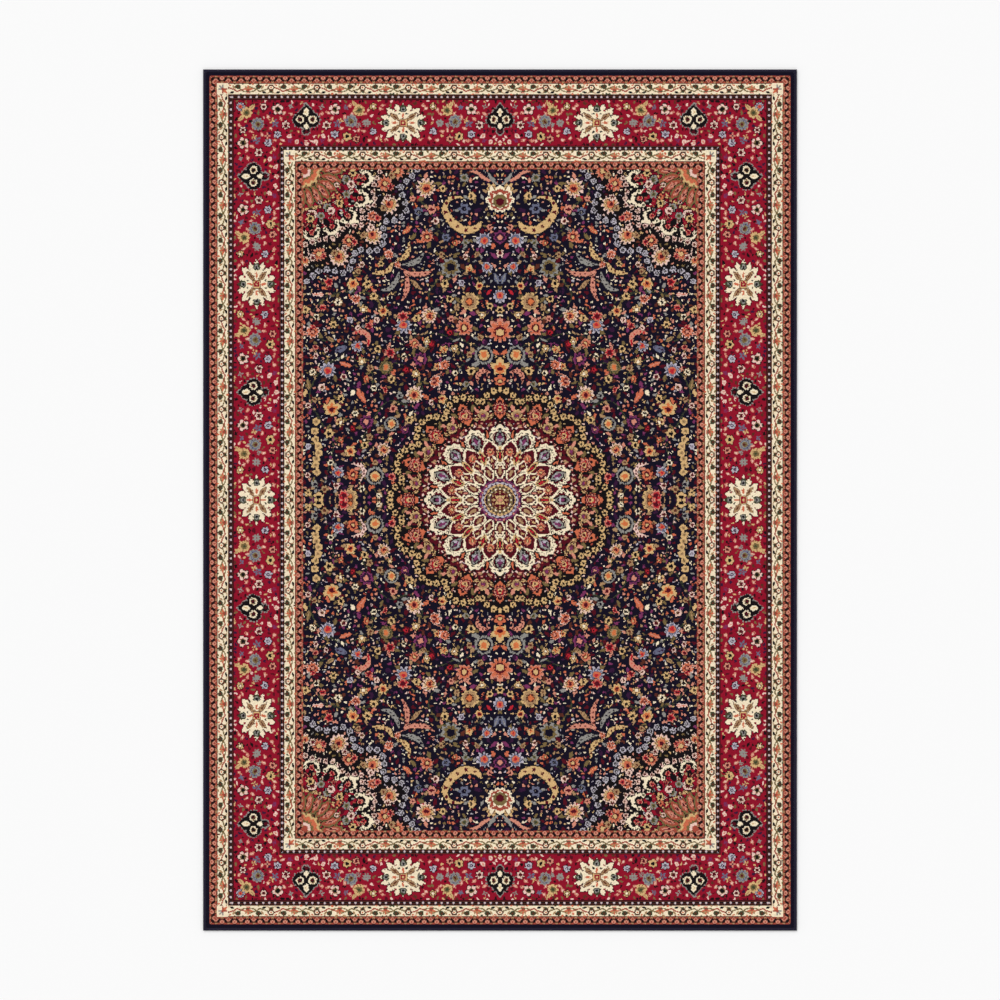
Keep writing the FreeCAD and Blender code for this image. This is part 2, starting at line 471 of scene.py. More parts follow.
# %% Large palmettes of the border
def cream_star(sheet, x, y, along, across):
    """Star palmette: stepped flame points, dark drops at its ends and a small red square for its heart."""
    arms = ((0, along), (90, across), (180, along), (270, across))
    for grow, yarn in ((4, "maroon"), (0, "cream")):
        where, u, v = sheet.window(x, y, along)
        sheet.fill(where, np.hypot(u / (along + grow), v / (across + grow)) < 0.64, yarn)
        for turn, far in arms:
            bearing = math.radians(turn)
            sheet.leaf(x, y, turn, 2 * (far + grow), 42 + 2 * grow, yarn)
            for side in (-1, 1):
                tip_x = far * 0.62 * math.cos(bearing) - side * 16 * math.sin(bearing)
                tip_y = far * 0.62 * math.sin(bearing) + side * 16 * math.cos(bearing)
                sheet.leaf(x + tip_x, y + tip_y, turn + side * 16, 46 + 2 * grow, 17 + 2 * grow, yarn)
        for way_x in (-1, 1):
            for way_y in (-1, 1):
                for out, up, turn, length, width in ((0.46, 0.5, 42, 46, 22), (0.24, 0.66, 66, 34, 16)):
                    sheet.leaf(x + way_x * along * out, y + way_y * across * up, way_x * way_y * turn,
                               length + 2 * grow, width + 2 * grow, yarn)
    for way_x in (-1, 1):
        for way_y in (-1, 1):
            sheet.leaves((x + way_x * along * 0.33, y + way_y * across * 0.3), way_x * way_y * 38,
                         (44, 17, "brown"), (40, 13, "tan"), (22, 5, "brown"))
            sheet.disc(x + way_x * along * 0.3, y + way_y * across * 0.62, 3, "crimson")
            sheet.disc(x + way_x * along * 0.56, y + way_y * across * 0.34, 3, "black")
            sheet.disc(x + way_x * along * 0.15, y + way_y * across * 0.45, 3, "black")
    for turn, far in arms:
        sheet.blossom(*off(x, y, far * 0.66, turn), 13.5, ((1, "green"), (0.62, "grey"), (0.36, "black")),
                      lobes=3, depth=0.24, angle=turn, lean=0.3)
        sheet.leaf(*off(x, y, far * 0.36, turn), turn, 22, 8, "terracotta")
    for size, yarn in ((15, "brown"), (12.5, "gold"), (9, "crimson"), (4, "gold")):
        where, u, v = sheet.window(x, y, size)
        sheet.fill(where, np.maximum(np.abs(u), np.abs(v)) < size, yarn)


def black_palmette(sheet, x, y):
    """Four black lobes in a toothed lilac outline; the pointed one faces up the sheet."""
    lobes = ((-21, 8, 24), (21, 8, 24), (0, 27, 25), (0, 0, 22), (0, -30, 12))
    for dx, dy, radius in lobes:
        sheet.blossom(x + dx, y + dy, radius + 4, ((1, "grey"),), lobes=14, depth=0.16)
    sheet.leaf(x, y + 48, 90, 38, 25, "grey")
    for dx, dy, radius in lobes:
        sheet.disc(x + dx, y + dy, radius, "black")
    sheet.leaf(x, y + 44, 90, 36, 24, "black")
    for way in (-1, 1):
        sheet.blossom(x + way * 21, y + 9, 14,
                      ((1, "cream"), (0.7, "tan"), (0.55, "black"), (0.26, "maroon")), lobes=7)
    sheet.leaf(x, y + 34, 90, 30, 18, "cream")
    sheet.leaf(x, y + 33, 90, 12, 6, "gold")
    sheet.leaf(x, y - 14, 90, 20, 16, "cream")
    sheet.disc(x, y - 33, 6.5, "maroon")
    for turn in (-145, -117, -90, -63, -35):
        far = 66 if turn == -90 else 70
        sheet.leaf(x + far * math.cos(math.radians(turn)), y - 10 + far * math.sin(math.radians(turn)) * 0.9,
                   turn, 19, 14, "pink")
        sheet.leaf(x + far * math.cos(math.radians(turn)), y - 10 + far * math.sin(math.radians(turn)) * 0.9,
                   turn, 10, 6, "salmon")


def sunflower(sheet, x, y, angles):
    """Gold flower with an olive heart and a pointed leaf at each angle."""
    for angle in angles:
        turn = math.radians(angle)
        sheet.leaf(x + 24 * math.cos(turn), y + 24 * math.sin(turn), angle, 34, 13, "gold", rib="tan")
    sheet.blossom(x, y, 20, ((1, "gold"), (0.55, "olive"), (0.25, "green")), lobes=8, depth=0.22,
                  split="brown")


def fan(sheet, x, y, angle):
    """Grey-blue fan palmette with a pale toothed edge."""
    sheet.blossom(x, y, 22, ((1, "grey"), (0.78, "blue"), (0.6, "grey"), (0.4, "olive"), (0.2, "maroon")),
                  lobes=11, depth=0.22, angle=angle, lean=0.15, split="plum")


# %% The small flowers between the palmettes
BORDER_FLOWERS = (
    ("lilac", 112, -38, 13), ("pale", 80, -8, 14), ("gold", 160, -46, 15), ("pink", 196, -54, 12),
    ("lilac", 261, -28, 12), ("creamy", 262, 55, 12), ("star", 112, 46, 19),
)
BORDER_SPRAYS = (
    ("blue", 122, -2, 15, 5), ("gold", 134, 8, 11, 4), ("grey", 236, 0, 15, 8), ("blue", 154, 52, 10, 5),
    ("grey", 204, -8, 9, 6), ("grey", 60, 55, 11, 4), ("mauve", 64, -60, 9, 5),
)
BORDER_BUDS = (
    (100, 14, 60), (86, 34, -40), (140, -18, 30), (150, 20, 70), (225, -28, 0), (232, 30, 20), (205, -24, 80),
    (172, 58, 40), (290, 48, -30), (246, -58, 10), (275, -52, 60), (124, -60, -20), (92, -58, 20),
    (300, 58, 10), (312, -56, -30), (180, 30, -60), (244, 44, 60), (60, 30, 20), (142, -60, 70),
)


def crimson_border(strip, side):
    """Crimson band with its palmettes and small flowers."""
    strip.yarn[:] = NUMBER["crimson"]
    middle = strip.rows * TUFT / 2
    head = side == "head"
    squeeze = 0.86 if head else 1
    repeat = 326 if head else 363
    blacks = (0, 2) if head else (1, 3)
    last = blacks[-1]
    for black in blacks:
        centre = black * repeat
        for way in (-1, 1):
            outside = black == last and way == 1
            for yarn, a, up, size, leaves in BORDER_SPRAYS:
                if not (outside and a > 150):
                    spray(strip, centre + way * a * squeeze, middle + up, size, yarn, leaves, 20)
            for a, up, angle in BORDER_BUDS:
                if not (outside and a > 175):
                    strip.leaf(centre + way * a * squeeze, middle + up, way * angle, 18, 10, "salmon")
                    strip.leaf(centre + way * a * squeeze, middle + up, way * angle, 9, 4, "pink")
            for kind, a, up, size in BORDER_FLOWERS:
                if not (outside and a > 125):
                    flower(strip, kind, centre + way * a * squeeze, middle + up, size, angle=90)
            if not outside:
                fan(strip, centre + way * 176 * squeeze, middle + 3, 90)
                sunflower(strip, centre + way * 207 * squeeze, middle + 42, (90 + way * 35,))
        black_palmette(strip, centre, middle + 2)
    for cream in ((1,) if head else (0, 2)):
        cream_star(strip, cream * repeat, middle, 84, 66)
    print(sow(strip, 9000, BORDER_SEEDS, 0.44), "leaves sown in the border's", side)
    wobble(strip, 0.42)


lay_strips("pile_border_right", crimson_border)
corner_x = outer_x["pile_border_right"]
corner_y = outer_y["pile_border_right"]
flower(paper, "frost", corner_x - 22, corner_y - 22, 15)
sunflower(paper, corner_x - 42, corner_y - 42, (135, -45))
fan(paper, corner_x - 82, corner_y - 82, 45)
flower(paper, "pale", corner_x - 30, corner_y - 100, 11)
flower(paper, "pale", corner_x - 100, corner_y - 22, 11)
spray(paper, corner_x - 112, corner_y - 120, 12, "salmon", 4)
print("crimson border drawn")

# %% [markdown]
# ## The field
# Flowers fill the dark field so densely that no patch of ground is larger than a hand. The large ones
# are listed one by one, because the eye finds them; a seeded sower then drops small leaves and buds into the
# ground that is left.

# %% The field's sheet and its stems
field = Sheet(FIELD_X, FIELD_Y, "navy")
STEMS = (
    ((415, 20), (470, 150), (450, 230), (380, 330), (300, 320), (262, 380), (300, 440), (380, 470)),
    ((590, 60), (560, 190), (600, 260), (640, 350), (600, 440), (520, 480), (440, 440), (425, 380)),
    ((20, 500), (110, 530), (190, 600), (240, 690), (180, 760), (100, 770), (60, 720), (100, 660)),
    ((280, 560), (360, 600), (400, 680), (500, 700), (590, 680), (640, 600), (600, 540), (520, 540)),
    ((60, 880), (130, 870), (200, 900), (240, 980), (300, 1040), (240, 1100)),
    ((150, 430), (120, 470), (160, 540), (250, 560), (330, 520), (350, 470)),
)
for stem in STEMS:
    field.stroke(stem, 3.4, "green", taper=0.9)
field.drawn[:] = False

# %% Flowers of the field
FIELD_FLOWERS = (
    # near the medallion's sides
    ("wheel", 420, 78, 33, 80, 0.12), ("red", 364, 78, 15, 0, 0), ("gold", 464, 112, 14, 0, 0),
    ("rust", 494, 84, 22, 20, 0.1), ("frost", 546, 90, 21, 120, 0.2), ("cream", 570, 126, 13, 0, 0),
    ("cream", 464, 38, 13, 0, 0), ("lotus", 508, 12, 26, 180, 0.2), ("red", 526, 14, 21, 60, 0),
    ("pale", 550, 48, 12, 0, 0), ("tan", 590, 36, 14, 0, 0), ("grey", 622, 52, 14, 30, 0.2),
    ("gold", 610, 8, 19, 90, 0.1), ("gold", 646, 24, 13, 0, 0), ("pale", 646, 84, 11, 0, 0),
    ("orange", 503, 164, 21, 0, 0), ("gold", 455, 184, 14, 0, 0), ("ivory", 390, 168, 25, 60, 0.12),
    ("creamy", 370, 204, 9, 0, 0), ("cream", 408, 14, 13, 0, 0), ("gold", 575, 224, 18, 0, 0),
    ("rust", 535, 202, 12, 0, 0), ("lilac", 645, 180, 12, 0, 0), ("tan", 420, 126, 11, 0, 0),
    ("tan", 436, 210, 13, 30, 0.3), ("wheel", 365, 256, 27, 0, 0), ("purple", 320, 236, 14, 0, 0),
    ("maroon", 495, 240, 13, 0, 0), ("purple", 450, 262, 25, 30, 0), ("creamy", 535, 260, 15, 40, 0.3),
    ("gold", 305, 268, 15, 120, 0.2), ("tan", 404, 236, 14, 0, 0),
    ("cream", 486, 292, 13, 0, 0), ("pink", 360, 307, 15, 0, 0), ("orange", 566, 302, 30, 90, 0.28),
    ("gold", 535, 340, 14, 0, 0), ("pale", 645, 318, 11, 0, 0), ("tan", 625, 338, 11, 0, 0),
    ("ivory", 288, 352, 32, 90, 0.1), ("grey", 337, 352, 14, 0, 0), ("orange", 195, 342, 16, 250, 0.3),
    ("pale", 231, 328, 10, 0, 0), ("cream", 425, 376, 13, 0, 0), ("red", 386, 372, 11, 0, 0),
    ("rust", 450, 408, 12, 0, 0), ("pale", 600, 378, 14, 70, 0.2), ("peony", 226, 400, 22, 180, 0.5),
    ("gold", 365, 406, 15, 90, 0.1), ("creamy", 280, 423, 14, 40, 0.3), ("cream", 150, 426, 12, 60, 0.2),
    ("gold", 97, 434, 16, 0, 0), ("green", 114, 390, 13, 0, 0), ("maroon", 315, 438, 15, 0, 0),
    ("pale", 526, 413, 12, 0, 0), ("frost", 578, 434, 29, 60, 0.12), ("cream", 630, 430, 14, 0, 0),
    ("sun", 383, 446, 25, 0, 0), ("creamy", 465, 464, 14, 70, 0.3), ("tan", 434, 443, 13, 30, 0.2),
    ("orange", 210, 450, 12, 40, 0.2), ("peony", 182, 454, 19, 10, 0.3), ("purple", 267, 474, 25, 0, 0),
    ("cream", 323, 484, 11, 0, 0), ("wheel", 54, 488, 35, 0, 0), ("tan", 103, 489, 12, 0, 0),
    ("red", 370, 496, 20, 30, 0), ("gold", 410, 509, 14, 0, 0), ("orange", 190, 504, 14, 110, 0.3),
    ("creamy", 153, 509, 13, 0, 0), ("rose", 288, 527, 18, 0, 0), ("maroon", 230, 525, 15, 0, 0),
    ("creamy", 246, 532, 12, 60, 0.2), ("pale", 585, 504, 9, 0, 0), ("red", 620, 514, 11, 0, 0),
    ("pale", 620, 486, 10, 0, 0), ("tan", 67, 547, 13, 0, 0), ("frost", 478, 520, 21, 300, 0.2),
    ("tan", 255, 504, 10, 0, 0), ("maroon", 168, 564, 14, 0, 0), ("peony", 630, 566, 25, 0, 0),
    ("gold", 560, 590, 15, 0, 0), ("pale", 478, 580, 11, 0, 0), ("red", 440, 585, 14, 40, 0.2),
    ("rose", 120, 578, 31, 90, 0.08), ("cream", 617, 616, 14, 0, 0), ("lilac", 505, 606, 12, 0, 0),
    ("pale", 415, 606, 11, 0, 0), ("frost", 326, 592, 28, 250, 0.3), ("red", 326, 616, 20, 90, 0.2),
    ("gold", 280, 612, 15, 0, 0), ("ivory", 236, 618, 28, 60, 0.12), ("orange", 393, 636, 19, 0, 0),
    ("pink", 165, 610, 13, 0, 0), ("creamy", 460, 640, 15, 90, 0.2), ("cream", 545, 666, 16, 0, 0),
    ("gold", 425, 686, 15, 0, 0), ("peony", 485, 676, 18, 0, 0), ("gold", 170, 676, 14, 0, 0),
    ("lotus", 104, 666, 34, 150, 0.1), ("gold", 446, 726, 17, 0, 0), ("orange", 495, 727, 22, 0, 0),
    ("red", 570, 732, 17, 10, 0.5), ("gold", 186, 728, 17, 0, 0), ("lilac", 130, 730, 13, 0, 0),
    ("orange", 70, 720, 15, 0, 0), ("ash", 164, 784, 36, 330, 0.12), ("frost", 44, 786, 20, 270, 0.2),
    ("orange", 105, 774, 14, 110, 0.4), ("tan", 76, 826, 12, 0, 0), ("pale", 116, 818, 11, 0, 0),
    ("tan", 196, 826, 11, 0, 0), ("frost", 50, 872, 28, 20, 0.2), ("green", 116, 866, 13, 0, 0),
    ("rust", 152, 866, 11, 0, 0), ("blue", 182, 882, 15, 0, 0), ("rose", 244, 884, 24, 50, 0.15),
    ("pale", 217, 938, 14, 0, 0), ("pink", 34, 918, 11, 0, 0), ("pink", 230, 978, 17, 0, 0),
    ("blue", 274, 968, 16, 90, 0.2), ("ivory", 246, 1048, 36, 40, 0.14), ("pink", 295, 1014, 11, 0, 0),
    ("gold", 192, 1048, 13, 0, 0), ("gold", 95, 1022, 15, 0, 0), ("green", 120, 1084, 17, 0, 0),
    ("creamy", 28, 1048, 19, 0, 0), ("peony", 373, 826, 18, 40, 0.1), ("tan", 476, 770, 12, 0, 0),
    ("pale", 466, 792, 12, 0, 0), ("gold", 400, 795, 11, 0, 0), ("red", 630, 582, 10, 0, 0),
    ("gold", 655, 640, 15, 0, 0), ("creamy", 60, 622, 13, 0, 0), ("gold", 34, 652, 13, 0, 0),
    ("tan", 146, 648, 13, 0, 0), ("red", 596, 648, 13, 0, 0),
)
FIELD_LEAVES = (
    (468, 352, 60, 62, 20, "terracotta", "salmon"), (496, 360, 300, 26, 14, "cream", None),
    (475, 388, 100, 26, 16, "mauve", None), (520, 456, 20, 52, 15, "terracotta", "salmon"),
    (530, 483, 120, 22, 8, "cream", None), (535, 508, 340, 46, 20, "blue", "plum"),
    (570, 540, 40, 32, 14, "tan", "olive"), (612, 692, 5, 50, 13, "pink", "terracotta"),
    (470, 164, 0, 34, 12, "maroon", None), (540, 162, 0, 34, 12, "maroon", None),
    (645, 390, 80, 40, 16, "olive", "tan"), (655, 360, 100, 30, 14, "gold", None),
    (365, 140, 70, 26, 10, "plum", None), (400, 350, 70, 26, 10, "olive", None),
    (312, 908, 320, 44, 16, "terracotta", "gold"), (290, 888, 300, 30, 12, "olive", None),
    (268, 1018, 330, 30, 13, "red", None), (280, 988, 60, 22, 9, "orange", None),
    (20, 822, 40, 30, 14, "mauve", None), (12, 745, 70, 40, 16, "blue", "grey"),
    (90, 628, 20, 30, 14, "mauve", None), (118, 622, 120, 20, 8, "cream", None),
    (38, 698, 130, 22, 10, "red", None), (300, 290, 310, 26, 9, "cream", None),
    (128, 520, 55, 22, 8, "cream", None), (148, 538, 340, 24, 8, "grey", None),
    (168, 376, 60, 22, 8, "cream", None), (640, 300, 90, 26, 12, "mauve", None),
    (560, 60, 60, 20, 8, "blue", None), (60, 1020, 60, 22, 9, "grey", None),
    (660, 720, 60, 26, 12, "tan", None), (590, 712, 20, 22, 9, "terracotta", None),
)
COLLARS = ("olive", "maroon", "tan", "plum", "terracotta", "mauve", "grey", "maroon", "olive", "brown",
           "salmon")
for x, y, angle, length, width, yarn, rib in FIELD_LEAVES:
    field.leaf(x, y, angle, length, width, yarn, rib)
for place, (kind, x, y, radius, angle, lean) in enumerate(FIELD_FLOWERS):
    for step in range(5 if radius > 16 else 3):
        turn = 137.5 * place + step * (72 if radius > 16 else 120)
        out = radius * 1.05 + 3
        field.leaf(*off(x, y, out, turn), turn + 35,
                   radius * 0.5 + 13, radius * 0.2 + 6, COLLARS[(place * 3 + step) % len(COLLARS)])
for kind, x, y, radius, angle, lean in FIELD_FLOWERS:
    flower(field, kind, x, y, radius * 0.94, angle, lean)

# %% [markdown]
# ## Sickle leaves and the vase
# Long curled leaves carry a row of dots along their backs. Each is one brush stroke that swells and
# tapers, with the dots set along the same curve.

# %% Sickle leaves
def sickle(points, width, yarn, dot, dots, bulge=0.5):
    field.stroke(points, width + 4, "black", taper=0.2, bulge=bulge)
    field.stroke(points, width, yarn, taper=0.15, bulge=bulge)
    length = sum(math.dist(a, b) for a, b in zip(points, points[1:]))
    for share, (x, y) in walk(points, length / dots)[1:-1]:
        field.disc(x, y, width * 0.2, dot)


sickle([(62, 936), (80, 916), (112, 908), (145, 920), (172, 948), (186, 980), (172, 1010),
        (140, 1020), (126, 1016)], 27, "gold", "maroon", 8, bulge=0.35)
flower(field, "blue", 120, 980, 19)
field.leaf(146, 974, 0, 22, 10, "grey")
field.leaf(76, 974, 330, 30, 14, "plum")
sickle([(307, 866), (308, 838), (324, 816), (352, 804)], 17, "gold", "brown", 6)
sickle([(362, 800), (370, 780), (394, 766), (428, 762)], 17, "gold", "brown", 6)
sickle([(256, 830), (274, 808), (300, 794), (328, 792)], 17, "grey", "navy", 6)
sickle([(220, 780), (242, 765), (276, 760), (308, 764), (336, 782)], 15, "salmon", "maroon", 7)
sickle([(318, 764), (312, 738), (314, 704), (330, 668)], 17, "salmon", "maroon", 6)
sickle([(340, 768), (348, 738), (368, 714), (398, 704)], 16, "grey", "navy", 6)
sickle([(300, 742), (282, 722), (264, 708)], 12, "tan", "brown", 4)
flower(field, "peony", 344, 792, 12)

# Crescents beside two of the round flowers
sickle([(470, 66), (456, 92), (470, 118), (498, 122)], 14, "pink", "maroon", 7)
sickle([(496, 560), (462, 566), (442, 545), (446, 512)], 18, "salmon", "red", 8)
sickle([(34, 430), (60, 434), (76, 414), (74, 392)], 16, "salmon", "maroon", 6)
CHAIN = ((618, 264), (624, 232), (620, 204), (612, 182), (610, 158), (618, 138), (620, 118), (616, 94))
for step, (x, y) in enumerate(CHAIN):
    field.blossom(x, y, 13, ((1, "gold"), (0.5, "tan"), (0.25, "olive")), lobes=4, depth=0.2, angle=40 * step)

# %% The palmettes on the long axis
flower(field, "rose", 0, 560, 42, 90, 0.3)
flower(field, "orange", 0, 438, 30, 90, 0.35)
flower(field, "rust", 0, 398, 20, 90, 0.2)
field.blossom(0, 1000, 46, ((1, "cream"), (0.84, "rust"), (0.6, "cream"), (0.5, "olive"), (0.25, "maroon")),
              lobes=9, angle=90, lean=0.3, split="black")
field.stroke([(24, 1074), (50, 1080), (76, 1100), (100, 1106)], 12, "salmon", taper=0.3)
field.stroke([(4, 1060), (24, 1076), (40, 1100)], 12, "grey", taper=0.3)
flower(field, "frost", 0, 690, 24, 270, 0.2)
flower(field, "gold", 0, 640, 14)
flower(field, "purple", 0, 880, 24, 90, 0.2)
flower(field, "pale", 0, 830, 14)

# %% [markdown]
# ## The corner spandrels
# Each corner of the field holds a quarter of a rosette, a crimson ground with cream scrolls and a
# garland of small grey flowers as its outline.

# %% Spandrel
SPANDREL_EDGE = [(278, 1112), (304, 1082), (334, 1050), (322, 1010), (314, 978), (342, 944), (390, 932),
                 (390, 872), (420, 838), (480, 840), (498, 792), (524, 764), (580, 776), (614, 768),
                 (640, 742), (672, 720)]


def inside_curve(sheet, points):
    """Squares on the corner's side of a curve that runs from the sheet's top edge to its right edge."""
    track = np.array([spot for _, spot in walk(points, TUFT)])
    best = np.full((sheet.rows, sheet.columns), False)
    for row in range(sheet.rows):
        near = track[np.abs(track[:, 1] - sheet.y[row]) < TUFT]
        if len(near):
            best[row] = sheet.x > near[:, 0].mean()
        elif sheet.y[row] > track[:, 1].max():
            best[row] = sheet.x > track[0, 0]
    return best


CORNER = (FIELD_X, FIELD_Y)
whole = (slice(None), slice(None))
away_corner = np.hypot(field.x[None] - CORNER[0], field.y[:, None] - CORNER[1])
field.yarn[inside_curve(field, SPANDREL_EDGE)] = NUMBER["black"]
field.drawn[inside_curve(field, SPANDREL_EDGE)] = False
field.yarn[away_corner < 208] = NUMBER["crimson"]
for place in range(12):
    turn = 182 + place * 8
    for far, length, name in ((196, 34, "black"), (142, 30, "maroon"), (136, 14, "gold")):
        field.leaf(*off(*CORNER, far, turn), turn, length, length * 0.6, name)
field.fill(whole, away_corner < 62, "olive")
for turn in range(183, 275, 15):
    field.leaves(off(*CORNER, 98, turn), turn, (86, 36, "black"), (80, 31, "olive"), (66, 22, "rust"),
                 (46, 12, "salmon"), (26, 5, "maroon"))
    field.disc(*off(*CORNER, 134, turn + 7.45), 4, "gold")
field.blossom(*CORNER, 62, ((1, "gold"), (0.84, "terracotta"), (0.6, "olive"), (0.46, "pink"),
                            (0.3, "rust")), lobes=16, depth=0.16, split="brown")
SPANDREL_BUDS = (
    ("green", 518, 1078, 16), ("rust", 536, 1018, 15), ("green", 580, 984, 16), ("pale", 632, 960, 18),
    ("red", 486, 1090, 14), ("pale", 600, 940, 9), ("pale", 500, 1040, 9), ("pale", 554, 1000, 8),
    ("pale", 606, 1000, 8), ("red", 560, 950, 9), ("pale", 550, 1060, 8), ("red", 655, 925, 9),
)
for kind, x, y, radius in SPANDREL_BUDS:
    flower(field, kind, x, y, radius)
for cx, cy, turn in ((458, 1082, 176), (470, 1014, 196), (512, 956, 216), (566, 920, 236), (634, 900, 256)):
    curl = [off(cx, cy, 24, turn + step) for step in (-100, -50, 0, 50, 100)]
    field.stroke(curl, 17, "black", taper=0.9)
    field.stroke(curl, 11, "cream", taper=0.4)
    for end in (curl[0], curl[-1]):
        field.disc(*end, 7.5, "cream")
        field.disc(*end, 4, "green")
    field.leaf(*off(cx, cy, 34, turn), turn, 26, 13, "cream")
    flower(field, "red", cx, cy, 10)
garland(field, [(405, 1104), (426, 1050), (420, 996), (462, 976), (466, 926), (520, 922), (552, 884),
                (604, 876), (654, 860)], 24, 9.5, "pale")
SPANDREL_PALMETTES = (
    ("ivory", 374, 996, 31, 220), ("ivory", 430, 892, 32, 225), ("ivory", 544, 820, 31, 240),
    ("rose", 386, 1066, 26, 300), ("peony", 430, 956, 20, 250), ("rose", 510, 874, 23, 230),
    ("rose", 610, 830, 23, 250), ("ivory", 656, 806, 20, 270), ("rose", 345, 1108, 26, 270),
)
for kind, x, y, radius, angle in SPANDREL_PALMETTES:
    flower(field, kind, x, y, radius, angle, 0.14)
for far, size, kinds in ((168, 14, ("gold", "pale", "green")), (300, 12, ("tan", "red", "pale"))):
    for place in range(round(far * math.pi / 2 / 38)):
        spot = off(*CORNER, far, 184 + place * math.degrees(38 / far))
        where = field.window(*spot, size * 0.5)[0]
        if not field.drawn[where].all():
            flower(field, kinds[place % len(kinds)], *spot, size)
garland(field, SPANDREL_EDGE, 27, 11, "pearl")

# %% [markdown]
# ## The medallion
# Sixteen-fold and drawn by polar coordinates: everything is a loop over the turn, at a radius.

# %% Medallion
def ring_of(count, radius, offset=0.0):
    """Places in the first quadrant, and just past it, on a ring: (x, y, bearing in degrees)."""
    for place in range(-1, count // 4 + 2):
        bearing = (place + offset) * 360 / count
        yield *off(0, 0, radius, bearing), bearing


away = np.hypot(field.x[None], field.y[:, None])
bearing = np.arctan2(field.y[:, None], field.x[None])
scallop = 330 + 42 * np.abs(np.cos(8 * bearing)) ** 0.7
field.yarn[away < scallop + 14] = NUMBER["black"]
field.drawn[away < scallop + 14] = False
field.yarn[away < 310] = NUMBER["maroon"]
field.yarn[(away < 310) & (np.cos(64 * bearing) * np.sin(away / 6) > 0.3)] = NUMBER["black"]
for x, y, turn in ring_of(16, 304):
    field.leaf(*off(x, y, 4, turn), turn, 108, 66, "black")
    field.leaf(*off(x, y, 6, turn), turn, 78, 48, "terracotta")
    flower(field, "flame", x, y, 23, turn, 0.3)
    for way in (-1, 1):
        field.leaf(*off(0, 0, 322, turn + way * 6), turn + way * 40, 26, 12, "olive")
        field.leaf(*off(0, 0, 284, turn + way * 6), turn - way * 40, 24, 11, "gold", rib="brown")
lobe = [off(0, 0, 326 + 44 * abs(math.cos(8 * a)) ** 0.7, math.degrees(a))
        for a in np.linspace(-0.2, math.pi / 2 + 0.2, 160)]
garland(field, lobe, 27, 11.5, "gold")
for x, y, turn in ring_of(16, 288, 0.5):
    flower(field, "lotus", x, y, 19, turn, 0.2)
    field.disc(x, y, 6, "mauve")
    for way in (-1, 1):
        field.leaf(*off(0, 0, 312, turn + way * 3.4), turn + way * 30, 26, 11, "salmon")
        field.leaf(*off(0, 0, 256, turn + way * 3.4), turn + way * 50, 20, 9, "tan")
for x, y, turn in ring_of(16, 208):
    for step in range(-5, 6):
        field.disc(*off(x, y, 54, turn + step * 17), 3.6, "pink" if step % 2 else "salmon")
for x, y, turn in ring_of(16, 205):
    field.leaves(off(x, y, 22, turn), turn, (66, 50, "black"), (60, 42, "cream"))
    field.blossom(x, y, 41, ((1, "cream"), (0.82, "black"), (0.77, "cream"), (0.62, "maroon")), lobes=11,
                  depth=0.16, angle=turn, lean=0.14)
    for step in range(12):
        field.disc(*off(x, y, 35, turn + step * 30), 2.2, "black")
    field.leaves(off(x, y, 5, turn), turn, (58, 36, "black"), (50, 28, "grey"), (38, 16, "black"),
                 (30, 10, "mauve"))
    for way in (-1, 1):
        field.leaf(*off(x, y, way * 7, turn + 90), turn + way * 40, 20, 5, "lilac")
for x, y, turn in ring_of(16, 226, 0.5):
    field.leaves((x, y), turn, (48, 20, "black"), (30, 8, "terracotta"))
for x, y, turn in ring_of(16, 160, 0.5):
    field.leaves((x, y), turn, (104, 72, "black"), (98, 64, "cream"), (84, 50, "maroon"))
    for way in (-1, 1):
        field.leaf(*off(0, 0, 141, turn + way * 4.6), turn - way * 26, 44, 6, "cream")
    flower(field, "rose", *off(x, y, 5, turn), 15, turn)
    field.leaf(*off(0, 0, 132, turn), turn, 20, 8, "gold")
for x, y, turn in ring_of(16, 152):
    field.leaves((x, y), turn, (62, 20, "gold"), (46, 12, "black"), (28, 7, "red"))
for x, y, turn in ring_of(16, 98):
    field.leaves((x, y), turn, (66, 42, "black"), (62, 36, "cream"), (50, 24, "maroon"), (30, 11, "tan"))
for x, y, turn in ring_of(16, 118, 0.5):
    field.leaves((x, y), turn, (30, 12, "maroon"), (18, 6, "salmon"))
for far, first, second, count in ((70, "mauve", "salmon", 32), (61, "lilac", "plum", 24),
                                  (52, "gold", "black", 24), (43, "olive", "cream", 16),
                                  (33, "brown", "gold", 12)):
    field.fill(whole, away < far + 2, "plum")
    field.fill(whole, away < far, first)
    for x, y, turn in ring_of(count, far - 5):
        field.disc(x, y, 3, second)
field.fill(whole, away < 26, "maroon")
for x, y, turn in ring_of(8, 15):
    field.leaf(x, y, turn, 21, 7, "gold")
field.fill(whole, away < 7, "salmon")
print("field drawn", round(float(field.drawn.mean()), 3), "of its squares covered")


# %% [markdown]
# ## Sowing the field
# Three sowings go from roomy leaves to thin slivers, each into what the one before left bare. Black
# counts as bare here, since it is the outline and the ground of the spandrels and the medallion.

# %% Sow the field
field.drawn &= field.yarn != NUMBER["black"]
print(sow(field, 5000, SEEDS, 0.66), "leaves sown in the field")
print(sow(field, 16000, SEEDS, 0.52), "leaves between them")
print(sow(field, 7000, SLIVERS, 0.4), "slivers in the last gaps")
wobble(field, 0.5)
paper.yarn[:field.rows, :field.columns] = field.yarn

# %% [markdown]
# ## Camera, floor and light
# The rug is looked at from straight above, so the camera hangs over its middle with a long lens, which
# keeps the sides parallel. The light is a soft sun from the head left and an even white sky, as in a
# studio with a large diffuser.

# %% Camera
VIEW_WIDTH = 3.364
LENS = 100.0
camera_data = bpy.data.cameras.new("camera")
camera_data.lens = LENS
camera_data.clip_end = 50
camera = bpy.data.objects.new("camera", camera_data)
bpy.context.scene.collection.objects.link(camera)
camera.location = (0, 0, PILE_TOP * MM + VIEW_WIDTH * LENS / camera_data.sensor_width)
bpy.context.scene.camera = camera
bpy.context.scene.view_settings.view_transform = "Standard"

